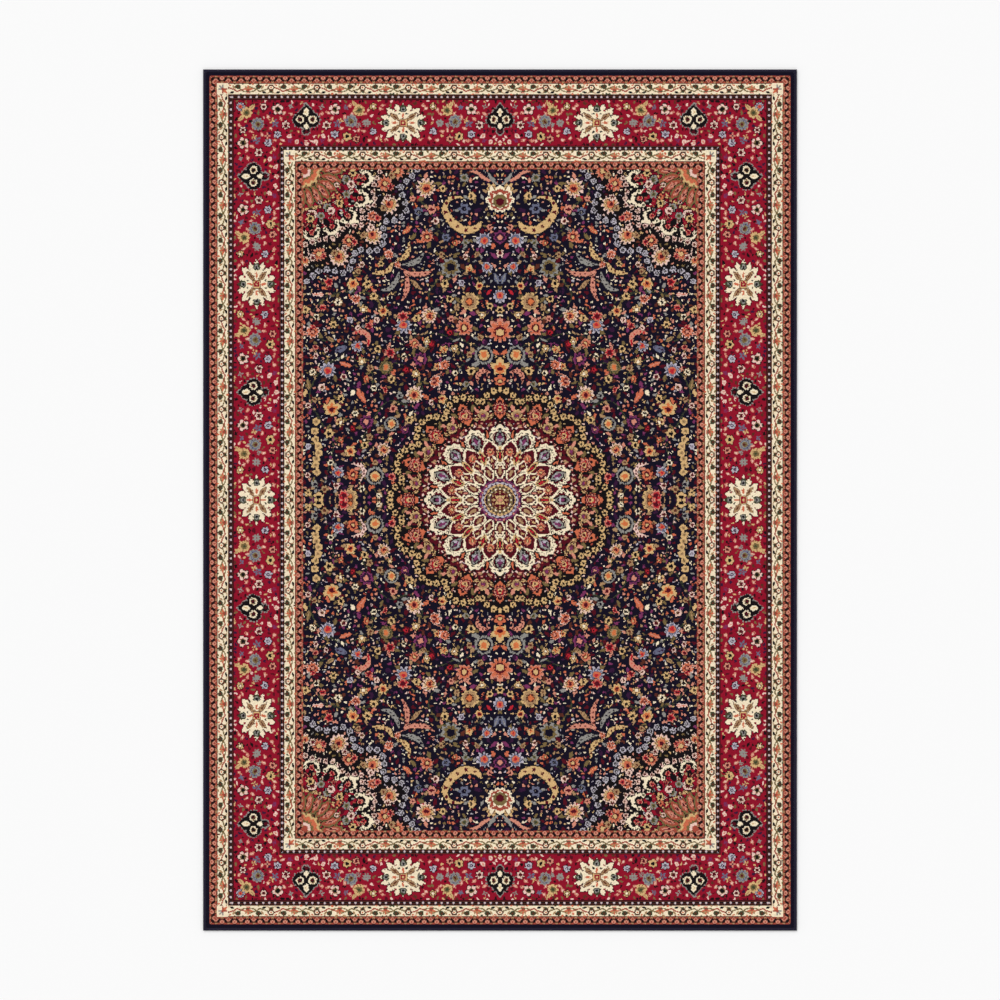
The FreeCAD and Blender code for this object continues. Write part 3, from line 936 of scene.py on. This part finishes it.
# %% Light
sky = bpy.data.worlds.new("studio")
bpy.context.scene.world = sky
sky.use_nodes = True
sky.node_tree.nodes["Background"].inputs["Color"].default_value = (1, 1, 1, 1)
sky.node_tree.nodes["Background"].inputs["Strength"].default_value = 0.62
sun_data = bpy.data.lights.new("diffuser", "SUN")
sun_data.energy = 1.5
sun_data.angle = math.radians(40)
sun = bpy.data.objects.new("diffuser", sun_data)
bpy.context.scene.collection.objects.link(sun)
sun.rotation_euler = (math.radians(-28), math.radians(-22), 0)


# %% [markdown]
# ## Shader words
# A material here is an expression: a socket wrapped in a small class adds, multiplies and raises to a
# power by making Math nodes, and one method makes every other kind of node.

# %% Shader words
class Wire:
    """A socket that takes part in sums."""

    def __init__(self, tree, socket):
        self.tree = tree
        self.socket = socket

    def node(self, kind, settings=None, **values):
        """Any node: its settings first, then its inputs by name; gives the node back."""
        made = self.tree.nodes.new(kind)
        for name, value in (settings or {}).items():
            setattr(made, name, value)
        for name, value in values.items():
            socket = made.inputs[int(name[1:])] if name[0] == "i" and name[1:].isdigit() else \
                made.inputs[name.replace("_", " ")]
            if isinstance(value, Wire):
                self.tree.links.new(value.socket, socket)
            else:
                socket.default_value = value
        return made

    def out(self, kind, output, settings=None, **values):
        return Wire(self.tree, self.node(kind, settings, **values).outputs[output])

    def maths(self, operation, a, b=0.0):
        return self.out("ShaderNodeMath", 0, {"operation": operation}, i0=a, i1=b)

    def __add__(self, other):
        return self.maths("ADD", self, other)

    def __radd__(self, other):
        return self.maths("ADD", other, self)

    def __sub__(self, other):
        return self.maths("SUBTRACT", self, other)

    def __rsub__(self, other):
        return self.maths("SUBTRACT", other, self)

    def __mul__(self, other):
        return self.maths("MULTIPLY", self, other)

    def __rmul__(self, other):
        return self.maths("MULTIPLY", other, self)

    def __pow__(self, other):
        return self.maths("POWER", self, other)

    def wave(self):
        return self.maths("SINE", self)

    def size(self):
        return self.maths("ABSOLUTE", self)


def mixed(factor, first, second):
    """Colours mixed by a factor."""
    return factor.out("ShaderNodeMix", 2, {"data_type": "RGBA"}, i0=factor, i6=first, i7=second)


def finish(name, roughness, sheen):
    """A new material: its shader and a wire to start its expressions from the piece's own coordinates."""
    material = bpy.data.materials.new(name)
    material.use_nodes = True
    tree = material.node_tree
    shader = tree.nodes["Principled BSDF"]
    shader.inputs["Roughness"].default_value = roughness
    shader.inputs["Specular IOR Level"].default_value = 0.12
    shader.inputs["Sheen Weight"].default_value = sheen
    shader.inputs["Sheen Roughness"].default_value = 0.45
    place = Wire(tree, tree.nodes.new("ShaderNodeTexCoord").outputs["Object"])
    return material, shader, place


def put(shader, socket, wire):
    shader.id_data.links.new(wire.socket, shader.inputs[socket])


def bump(shader, height, strength, distance):
    """Send a height to the shader's Normal through a Bump node."""
    raised = height.out("ShaderNodeBump", 0, Strength=strength, Distance=distance, Height=height)
    put(shader, "Normal", raised)


# %% [markdown]
# ## Pile yarn
# A cut tuft is a small brush of fibre ends. Close up each end is a soft dome with gaps round it; the base
# colour is painted darker in those gaps and lighter on the dome tops as painted shade, and further off this
# painted shade only deepens the colour. The tuft's own colour comes from the attribute that the point paper
# wrote, and noise of two sizes frets it as dye and twist do.

# %% Pile material
TUFTS_PER_METRE = 1 / (TUFT * MM)


def pile_finish(name):
    material, shader, place = finish(name, 0.95, 0.08)
    dyed = place.out("ShaderNodeAttribute", "Color", {"attribute_name": "dye"})
    fibre = place.out("ShaderNodeTexNoise", 0, Vector=place, Scale=1400.0, Detail=2.0)
    cloud = place.out("ShaderNodeTexNoise", 0, Vector=place, Scale=9.0, Detail=3.0)
    apart = place.node("ShaderNodeSeparateXYZ", Vector=place)
    across = Wire(place.tree, apart.outputs["X"]) * (math.pi * TUFTS_PER_METRE)
    along = Wire(place.tree, apart.outputs["Y"]) * (math.pi * TUFTS_PER_METRE)
    dome = (across.wave().size() * along.wave().size()) ** 0.5
    # Painted shade: darker in the gaps between tuft domes and lighter on their tops; the fibre and cloud
    # noise are the yarn's own random tone.
    gap_shade_and_yarn_tone = 0.72 + dome * 0.2 + fibre * 0.22 + cloud * 0.16
    grey = place.out("ShaderNodeCombineColor", 0, Red=gap_shade_and_yarn_tone, Green=gap_shade_and_yarn_tone, Blue=gap_shade_and_yarn_tone)
    colour = place.out("ShaderNodeMix", 2, {"data_type": "RGBA", "blend_type": "MULTIPLY"}, i0=1.0, i6=dyed,
                       i7=grey)
    put(shader, "Base Color", colour)
    bump(shader, dome + fibre * 0.7, 0.6, 0.0012)
    return material


# %% [markdown]
# ## Tufts
# The pile is a grid with one face for each tuft. Its corners are moved up and down a little, since no
# shears cut a pile dead level, and in slow waves, since no rug lies dead flat. The grid's edge is
# extruded down to the ground weave, and closed there.

# %% Dye for every tuft
quarter = paper.yarn
half = np.concatenate([quarter[:, ::-1], quarter], axis=1)
design = np.concatenate([half[::-1], half], axis=0)
ROWS, COLUMNS = design.shape
level = luck.normal(1, 0.07, (ROWS, COLUMNS, 1)) * luck.normal(1, 0.02, (ROWS, 1, 1))
tint = luck.normal(1, 0.02, (ROWS, COLUMNS, 3))
dyed = np.clip(SKEINS[design] * level * tint, 0, 1)
knots = np.stack(np.meshgrid(np.arange(COLUMNS + 1), np.arange(ROWS + 1)), axis=-1) * TUFT * MM
shorn = luck.normal(0, 0.00022, (ROWS + 1, COLUMNS + 1))
slow = 0.0004 * (np.sin(knots[..., 0] * 5.1 + 1) * np.sin(knots[..., 1] * 3.7) + np.sin(knots[..., 1] * 9.3))
pile_height = PILE_TOP * MM - 0.0006 + shorn + slow
print(ROWS * COLUMNS, "tufts, pile up to", round(float(pile_height.max()) * 1000, 1), "mm high")


# %% Grid of tufts
def alone(piece):
    """Select one object only, and make it active."""
    bpy.ops.object.select_all(action="DESELECT")
    piece.select_set(True)
    bpy.context.view_layer.objects.active = piece


def tuft_block(name, c0, c1, r0, r1):
    """A flat grid over columns c0 to c1 and rows r0 to r1, one face for each tuft."""
    bpy.ops.object.select_all(action="DESELECT")
    bpy.ops.mesh.primitive_grid_add(x_subdivisions=c1 - c0, y_subdivisions=r1 - r0, size=1)
    piece = bpy.context.object
    piece.name = name
    pitch = TUFT * MM
    size = ((c1 - c0) * pitch, (r1 - r0) * pitch, 1)
    middle = ((c0 + c1) / 2 * pitch - PILE_X * MM, (r0 + r1) / 2 * pitch - PILE_Y * MM, PILE_TOP * MM)
    spots = np.empty(len(piece.data.vertices) * 3)
    piece.data.vertices.foreach_get("co", spots)
    spots = spots.reshape(-1, 3) * size + middle
    piece.data.vertices.foreach_set("co", spots.ravel())
    return piece


def tuft_places(mesh):
    """Column and row of every face."""
    middles = np.empty(len(mesh.polygons) * 3)
    mesh.polygons.foreach_get("center", middles)
    middles = middles.reshape(-1, 3)
    columns = np.floor((middles[:, 0] / MM + PILE_X) / TUFT).astype(int)
    rows = np.floor((middles[:, 1] / MM + PILE_Y) / TUFT).astype(int)
    return np.clip(columns, 0, COLUMNS - 1), np.clip(rows, 0, ROWS - 1)


def pile_piece(name, zone_number, blocks):
    """One zone of the pile, from its blocks of tufts, less the tufts that belong to other zones."""
    parts = [tuft_block(f"{name}_{place}", *block) for place, block in enumerate(blocks)]
    bpy.ops.object.select_all(action="DESELECT")
    for part in parts:
        part.select_set(True)
    bpy.context.view_layer.objects.active = parts[0]
    if len(parts) > 1:
        bpy.ops.object.join()
    piece = bpy.context.object
    piece.name = name
    mesh = piece.data
    mesh.name = name
    columns, rows = tuft_places(mesh)
    stray = zones[rows, columns] != zone_number
    mesh.polygons.foreach_set("select", stray)
    bpy.context.tool_settings.mesh_select_mode = (False, False, True)
    bpy.ops.object.mode_set(mode="EDIT")
    if stray.any():
        bpy.ops.mesh.delete(type="FACE")
    if len(parts) > 1:
        bpy.ops.mesh.select_all(action="SELECT")
        bpy.ops.mesh.remove_doubles(threshold=TUFT * MM / 10)
    bpy.ops.mesh.select_all(action="SELECT")
    bpy.ops.mesh.region_to_loop()
    bpy.ops.mesh.extrude_edges_move(TRANSFORM_OT_translate={"value": (0, 0, (PILE_FOOT - PILE_TOP) * MM)})
    if len(parts) > 1:
        bpy.ops.mesh.bridge_edge_loops()
    else:
        bpy.ops.mesh.edge_face_add()
    bpy.ops.mesh.select_all(action="SELECT")
    bpy.ops.mesh.normals_make_consistent(inside=False)
    bpy.ops.object.mode_set(mode="OBJECT")
    spots = np.empty(len(mesh.vertices) * 3)
    mesh.vertices.foreach_get("co", spots)
    spots = spots.reshape(-1, 3)
    top = spots[:, 2] > (PILE_TOP - 1) * MM
    i = np.rint((spots[top, 0] / MM + PILE_X) / TUFT).astype(int)
    j = np.rint((spots[top, 1] / MM + PILE_Y) / TUFT).astype(int)
    spots[top, 2] = pile_height[j, i]
    mesh.vertices.foreach_set("co", spots.ravel())
    mesh.update()
    columns, rows = tuft_places(mesh)
    dye = np.ones((len(mesh.polygons), 4))
    dye[:, :3] = dyed[rows, columns]
    layer = mesh.attributes.new("dye", "FLOAT_COLOR", "FACE")
    layer.data.foreach_set("color", dye.ravel())
    mesh.materials.clear()
    mesh.materials.append(pile_material)
    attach(piece, "root")
    return piece


# %% [markdown]
# ## Zones of the pile
# The pile is one layer, but it is modelled in the zones of its design, each a piece of its own that
# can be recoloured: the border rings, the field's quarters, the spandrels and the medallion.

# %% Zones
X = (np.arange(COLUMNS)[None] + 0.5) * TUFT - PILE_X
Y = (np.arange(ROWS)[:, None] + 0.5) * TUFT - PILE_Y
zones = np.zeros((ROWS, COLUMNS), int)
for place, ring in enumerate(RINGS):
    zones[(np.abs(X) < outer_x[ring]) & (np.abs(Y) < outer_y[ring])] = place
SIDE_NAMES = ("right", "head", "left", "foot")
beside = outer_x["pile_border_right"] - np.abs(X) < outer_y["pile_border_right"] - np.abs(Y)
border = zones == RINGS.index("pile_border_right")
for place, mask in enumerate((beside & (X > 0), ~beside & (Y > 0), beside & (X < 0), ~beside & (Y < 0))):
    zones[border & mask] = 20 + place
QUARTERS = {"head_right": (1, 1), "head_left": (-1, 1), "foot_left": (-1, -1), "foot_right": (1, -1)}
inside = (np.abs(X) < FIELD_X) & (np.abs(Y) < FIELD_Y)
spandrel_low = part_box("pile_spandrel_head_right")[0]
SPANDREL_LEG = FIELD_X - spandrel_low[0] / MM
medallion_radius = reach("pile_medallion")[0]
turn = np.arctan2(Y, X)
step = math.pi / 8
polygon = medallion_radius * math.cos(step / 2) / np.cos((turn % step) - step / 2)
for place, (name, (way_x, way_y)) in enumerate(QUARTERS.items()):
    quarter_zone = inside & (X * way_x > 0) & (Y * way_y > 0)
    zones[quarter_zone] = 30 + place
    zones[quarter_zone & (FIELD_X - np.abs(X) + FIELD_Y - np.abs(Y) < SPANDREL_LEG)] = 40 + place
zones[np.hypot(X, Y) < polygon] = 50


def bounds_of(number):
    """The block of columns and rows that a zone lies in."""
    rows, columns = np.nonzero(zones == number)
    return columns.min(), columns.max() + 1, rows.min(), rows.max() + 1


def ring_blocks(number, width):
    """Four blocks that cover a ring of a width in tufts."""
    c0, c1, r0, r1 = bounds_of(number)
    return ((c0, c1, r0, r0 + width), (c0, c1, r1 - width, r1), (c0, c0 + width, r0 + width, r1 - width),
            (c1 - width, c1, r0 + width, r1 - width))


SLOTS = {"pile_edge_band": "navy_pile", "pile_outer_zigzag": "rust_pile", "pile_outer_guard": "cream_pile",
         "pile_outer_beads": "bead_pile", "pile_inner_beads": "bead_pile", "pile_inner_guard": "cream_pile",
         "pile_inner_zigzag": "rust_pile"}
pile_material = pile_finish("pile_yarn")
pile_pieces = []


def weave_zone(node, number, blocks):
    piece = pile_piece(node + "_tufts", number, blocks)
    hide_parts(node)
    pile_pieces.append(piece)
    print(f"{piece.name}: {len(piece.data.polygons)} faces")


for place, ring in enumerate(RINGS):
    if ring in SLOTS:
        weave_zone(ring, place, ring_blocks(place, round(ring_width(ring) / TUFT)))
for place, side in enumerate(SIDE_NAMES):
    weave_zone(f"pile_border_{side}", 20 + place, (bounds_of(20 + place),))
for place, name in enumerate(QUARTERS):
    weave_zone(f"pile_field_{name}", 30 + place, (bounds_of(30 + place),))
    weave_zone(f"pile_spandrel_{name}", 40 + place, (bounds_of(40 + place),))
weave_zone("pile_medallion", 50, (bounds_of(50),))

# %% [markdown]
# ## Ground weave
# The base cloth is what shows when a corner is turned up: wefts of jute lie side by side across the
# rug as fine ribs. One rib is shaped and an Array repeats it down the whole length, so the ribs are
# real shape and not only a pattern.

# %% Jute finish
def jute_finish():
    material, shader, place = finish("jute_weave", 0.95, 0.05)
    apart = place.node("ShaderNodeSeparateXYZ", Vector=place)
    across = Wire(place.tree, apart.outputs["X"]) * (math.pi * TUFTS_PER_METRE)
    along = Wire(place.tree, apart.outputs["Y"]) * (math.pi * TUFTS_PER_METRE)
    crossing = across.wave().size() * 0.6 + along.wave().size() * 0.4
    fibre = place.out("ShaderNodeTexNoise", 0, Vector=place, Scale=900.0, Detail=3.0)
    cloud = place.out("ShaderNodeTexNoise", 0, Vector=place, Scale=6.0, Detail=3.0)
    # Painted shade: the colour is darker in the hollows between the crossing yarns, where the crossing height
    # is low, and lighter on their tops; fibre and cloud noise are the jute's own random tone.
    colour = mixed(crossing * 0.5 + fibre * 0.3 + cloud * 0.3, (0.20, 0.13, 0.07, 1), (0.62, 0.48, 0.31, 1))
    put(shader, "Base Color", colour)
    bump(shader, crossing + fibre * 0.5, 0.5, 0.0008)
    return material


# %% The woven base
WEAVE_X, WEAVE_Y, WEAVE_FOOT, WEAVE_TOP = reach("ground_weave")
RIB_STEPS = 4
RIB_DEPTH = 0.5
ribs = round(2 * WEAVE_Y / TUFT)
bpy.ops.object.select_all(action="DESELECT")
bpy.ops.mesh.primitive_grid_add(x_subdivisions=1, y_subdivisions=RIB_STEPS, size=1, location=(0, 0, 0))
weave = bpy.context.object
weave.name = "ground_weave_cloth"
for vertex in weave.data.vertices:
    share = vertex.co.y + 0.5
    hollow = RIB_DEPTH * (1 - math.sin(math.pi * share))
    vertex.co = (2 * vertex.co.x * WEAVE_X * MM, (share * TUFT - WEAVE_Y) * MM, (WEAVE_FOOT + hollow) * MM)
rows_of_ribs = weave.modifiers.new("ribs", "ARRAY")
rows_of_ribs.count = ribs
rows_of_ribs.use_relative_offset = False
rows_of_ribs.use_constant_offset = True
rows_of_ribs.constant_offset_displace = (0, TUFT * MM, 0)
rows_of_ribs.use_merge_vertices = True
rows_of_ribs.merge_threshold = 0.0001
bpy.ops.object.modifier_apply(modifier=rows_of_ribs.name)
bpy.ops.object.mode_set(mode="EDIT")
bpy.ops.mesh.select_all(action="SELECT")
bpy.ops.mesh.region_to_loop()
bpy.ops.mesh.extrude_edges_move(TRANSFORM_OT_translate={"value": (0, 0, WEAVE_TOP * MM)})
bpy.ops.mesh.edge_face_add()
bpy.ops.object.mode_set(mode="OBJECT")
for vertex in weave.data.vertices:
    if vertex.co.z > WEAVE_TOP * MM * 0.8:
        vertex.co.z = WEAVE_TOP * MM
alone(weave)
bpy.ops.object.mode_set(mode="EDIT")
bpy.ops.mesh.select_all(action="SELECT")
bpy.ops.mesh.normals_make_consistent(inside=False)
bpy.ops.object.mode_set(mode="OBJECT")
weave.data.materials.append(jute_finish())
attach(weave, "root")
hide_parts("ground_weave")
print(ribs, "ribs,", len(weave.data.polygons), "faces in the ground weave")


# %% [markdown]
# ## Overcast edges
# A cotton cord runs along each edge, and yarn is wound round it turn by turn. One turn is modelled as
# a swelling and a waist, an Array repeats it along the side, and the ends are drawn back to a mitre so
# that two sides meet at the corner.

# %% Edge finishes
def serging_finish():
    material, shader, place = finish("serging_yarn", 0.7, 0.3)
    fibre = place.out("ShaderNodeTexNoise", 0, Vector=place, Scale=1100.0, Detail=3.0)
    cloud = place.out("ShaderNodeTexNoise", 0, Vector=place, Scale=14.0, Detail=2.0)
    colour = mixed(fibre * 0.7 + cloud * 0.3, (0.004, 0.003, 0.010, 1), (0.020, 0.015, 0.040, 1))
    put(shader, "Base Color", colour)
    bump(shader, fibre, 0.5, 0.0006)
    return material


def cotton_finish():
    material, shader, place = finish("cotton_cord", 0.9, 0.1)
    fibre = place.out("ShaderNodeTexNoise", 0, Vector=place, Scale=900.0, Detail=3.0)
    put(shader, "Base Color", mixed(fibre, (0.45, 0.40, 0.30, 1), (0.80, 0.75, 0.64, 1)))
    bump(shader, fibre, 0.4, 0.0005)
    return material


# %% One side's wrapped edge and its cord
TURN = 4.0
SECTION = 12


def repeated(name, turns, pitch, radii):
    """A tube of turns: each goes through the given radii in even steps, closed at both ends."""
    bpy.ops.object.select_all(action="DESELECT")
    bpy.ops.mesh.primitive_circle_add(vertices=SECTION, radius=radii[-1], rotation=(math.pi / 2, 0, 0))
    tube = bpy.context.object
    tube.name = name
    bpy.ops.object.transform_apply(location=False, rotation=True, scale=False)
    bpy.ops.object.mode_set(mode="EDIT")
    bpy.ops.mesh.select_all(action="SELECT")
    before = radii[-1]
    for radius in radii:
        bpy.ops.mesh.extrude_edges_move(TRANSFORM_OT_translate={"value": (0, pitch / len(radii), 0)})
        swell = radius / before
        bpy.ops.transform.resize(value=(swell, 1, swell), center_override=(0, 0, 0))
        before = radius
    bpy.ops.object.mode_set(mode="OBJECT")
    run = tube.modifiers.new("turns", "ARRAY")
    run.count = turns
    run.use_relative_offset = False
    run.use_constant_offset = True
    run.constant_offset_displace = (0, pitch, 0)
    run.use_merge_vertices = True
    run.merge_threshold = 0.02
    bpy.ops.object.modifier_apply(modifier=run.name)
    bpy.ops.object.mode_set(mode="EDIT")
    bpy.ops.mesh.select_all(action="DESELECT")
    bpy.ops.mesh.select_non_manifold(extend=False, use_wire=False, use_boundary=True, use_multi_face=False,
                                     use_non_contiguous=False, use_verts=False)
    bpy.ops.mesh.edge_face_add()
    bpy.ops.mesh.select_all(action="SELECT")
    bpy.ops.mesh.normals_make_consistent(inside=False)
    bpy.ops.object.mode_set(mode="OBJECT")
    return tube


def lay_edge(tube, side, height, half_width, half_height, slant):
    """Bend a tube of radius 1 mm steps into one side's bar, in place in its mesh."""
    mesh = tube.data
    spots = np.empty(len(mesh.vertices) * 3)
    mesh.vertices.foreach_get("co", spots)
    spots = spots.reshape(-1, 3)
    along_y = side in ("left", "right")
    half_length = (EDGE_Y if along_y else EDGE_X)
    centre = (EDGE_X if along_y else EDGE_Y) - EDGE_WIDTH / 2
    out, lift = spots[:, 0], spots[:, 2]
    run = spots[:, 1] / spots[:, 1].max() * 2 * half_length - half_length
    across = np.sign(out) * np.abs(out) ** 0.8 * half_width
    up = height + np.sign(lift) * np.abs(lift) ** 0.8 * half_height
    away_out = EDGE_WIDTH / 2 - across
    near_end = np.clip(1 - (half_length - np.abs(run)) / 60, 0, 1)
    near_end = near_end * near_end * (3 - 2 * near_end)
    run = run + slant * across * (1 - near_end)
    run = run - np.sign(run) * away_out * near_end
    sign = 1 if side in ("right", "head") else -1
    x, y = sign * (centre + across), run
    if not along_y:
        x, y = -run, x
    mesh.vertices.foreach_set("co", (np.stack([x, y, up], axis=1) * MM).ravel())
    mesh.update()
    alone(tube)
    bpy.ops.object.mode_set(mode="EDIT")
    bpy.ops.mesh.select_all(action="SELECT")
    bpy.ops.mesh.normals_make_consistent(inside=False)
    bpy.ops.object.mode_set(mode="OBJECT")
    bpy.ops.object.shade_smooth()


EDGE_X = reach("serging_right")[0]
EDGE_Y = reach("serging_head")[1]
EDGE_TOP = reach("serging_right")[3]
EDGE_WIDTH = EDGE_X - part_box("serging_right")[0][0] / MM
CORD_RADIUS = (reach("edge_cord_right")[3] - reach("edge_cord_right")[2]) / 2
serging_material = serging_finish()
cotton_material = cotton_finish()
for side in ("left", "right", "head", "foot"):
    length = 2 * (EDGE_Y if side in ("left", "right") else EDGE_X)
    wrap = repeated(f"serging_{side}_yarn", round(length / TURN), TURN, (1.0, 0.82))
    lay_edge(wrap, side, EDGE_TOP / 2, EDGE_WIDTH / 2, EDGE_TOP / 2, 0.25)
    wrap.data.materials.append(serging_material)
    cord = repeated(f"edge_cord_{side}_strands", round(length / 25), 25, (1.0,))
    lay_edge(cord, side, EDGE_TOP / 2, CORD_RADIUS * 0.9, CORD_RADIUS * 0.9, 0)
    cord.data.materials.append(cotton_material)
    for piece, node, slot in ((wrap, f"serging_{side}", "serging_yarn"),
                              (cord, f"edge_cord_{side}", "cotton_cord")):
        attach(piece, "root")
        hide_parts(node)
    pile_pieces += [wrap, cord]
    print(side, len(wrap.data.polygons), "faces of wrapping")

# %% [markdown]
# ## The rug as a sheet
# The rug is one sheet of cloth: the ground weave, with everything that it carries. Every piece above was
# already attached to the one root body as it was made.

# %% [markdown]
# ## Studio floor
# A pale matt floor under the rug, which isn't part of it.

# %% Floor
bpy.ops.object.select_all(action="DESELECT")
bpy.ops.mesh.primitive_plane_add(size=40, location=(0, 0, 0))
floor = bpy.context.object
floor.name = "studio_floor"
floor.location = (0, 0, -0.0002)
floor_material, floor_shader, _ = finish("studio_paper", 0.9, 0.0)
floor_shader.inputs["Base Color"].default_value = (0.95, 0.95, 0.95, 1)
floor.data.materials.append(floor_material)
